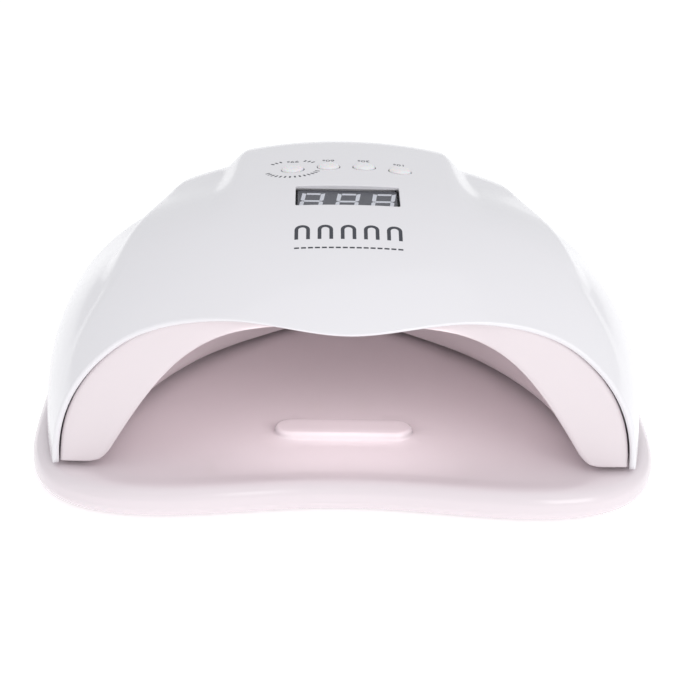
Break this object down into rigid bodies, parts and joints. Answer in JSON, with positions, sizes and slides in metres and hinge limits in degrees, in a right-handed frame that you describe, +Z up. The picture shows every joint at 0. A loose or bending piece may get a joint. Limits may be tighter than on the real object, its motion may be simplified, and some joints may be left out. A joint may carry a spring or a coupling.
{
  "type": "uv led nail lamp",
  "caption": "Arched white lamp head with a hooded tunnel for the hand, a small display and push buttons on its crown, standing on a loose rounded base tray.",
  "frame": {"origin": "middle of the footprint, on the surface it stands on", "axes": "+X to the right seen from the open front, +Y towards the rear where the power inlet is, +Z up"},
  "size_m": [0.237, 0.1986, 0.1033],
  "materials": {
    "cover_plastic": "glossy white moulded ABS",
    "liner_plastic": "satin pinkish-white moulded ABS",
    "tray_plastic": "glossy pinkish-white moulded ABS",
    "button_plastic": "slightly translucent white",
    "smoked_pane": "polished smoked acrylic",
    "display_body": "dark grey face with pale segments",
    "circuit_board": "green solder mask",
    "led_board": "white solder mask on aluminium",
    "black_plastic": "fine matt",
    "screw_steel": "zinc plated",
    "magnet_steel": "nickel plated",
    "rubber": "matt",
    "pad_rubber": "matt, pale",
    "brass_pin": "polished",
    "clear_plastic": "water-clear epoxy",
    "infrared_plastic": "dark epoxy",
    "wire": "soft PVC"
  },
  "bodies": {
    "base": {"base_tray": "tray_plastic", "rubber_foot_front_left": "rubber", "rubber_foot_front_right": "rubber", "rubber_foot_rear_left": "rubber", "rubber_foot_rear_right": "rubber", "tray_magnet_front_left": "magnet_steel", "tray_magnet_front_right": "magnet_steel", "tray_magnet_rear_left": "magnet_steel", "tray_magnet_rear_right": "magnet_steel"},
    "head": {"outer_cover": "cover_plastic", "inner_liner": "liner_plastic", "display_window": "smoked_pane", "display_module": "display_body", "control_board": "circuit_board", "tact_switch_99s": "black_plastic", "tact_switch_60s": "black_plastic", "tact_switch_30s": "black_plastic", "tact_switch_10s": "black_plastic", "board_screw_front_left": "screw_steel", "catch_plate_front_left": "magnet_steel", "head_pad_front_left": "pad_rubber", "liner_screw_front_left": "screw_steel", "board_screw_front_right": "screw_steel", "catch_plate_front_right": "magnet_steel", "head_pad_front_right": "pad_rubber", "liner_screw_front_right": "screw_steel", "board_screw_rear_left": "screw_steel", "catch_plate_rear_left": "magnet_steel", "head_pad_rear_left": "pad_rubber", "liner_screw_rear_left": "screw_steel", "board_screw_rear_right": "screw_steel", "catch_plate_rear_right": "magnet_steel", "head_pad_rear_right": "pad_rubber", "liner_screw_rear_right": "screw_steel", "led_board_roof": "led_board", "led_board_left": "led_board", "led_board_right": "led_board", "led_board_rear": "led_board", "sensor_board": "circuit_board", "infrared_emitter": "clear_plastic", "infrared_receiver": "infrared_plastic", "power_socket": "black_plastic", "socket_pin": "brass_pin", "wire_power": "wire", "wire_left": "wire", "wire_right": "wire", "wire_roof": "wire", "wire_sensor": "wire"},
    "button_99s": {"button_99s": "button_plastic"},
    "button_60s": {"button_60s": "button_plastic"},
    "button_30s": {"button_30s": "button_plastic"},
    "button_10s": {"button_10s": "button_plastic"}
  },
  "joints": [
    {"name": "head_lift", "type": "slide", "parent": "base", "child": "head", "axis": [0, 0, 1], "range_m": [0, 0.06]},
    {"name": "press_99s", "type": "slide", "parent": "head", "child": "button_99s", "axis": [0, 0.1049, -0.9945], "range_m": [0, 0.0006], "stiffness_N_per_m": 1500},
    {"name": "press_60s", "type": "slide", "parent": "head", "child": "button_60s", "axis": [0, 0.1049, -0.9945], "range_m": [0, 0.0006], "stiffness_N_per_m": 1500},
    {"name": "press_30s", "type": "slide", "parent": "head", "child": "button_30s", "axis": [0, 0.1049, -0.9945], "range_m": [0, 0.0006], "stiffness_N_per_m": 1500},
    {"name": "press_10s", "type": "slide", "parent": "head", "child": "button_10s", "axis": [0, 0.1049, -0.9945], "range_m": [0, 0.0006], "stiffness_N_per_m": 1500}
  ]
}
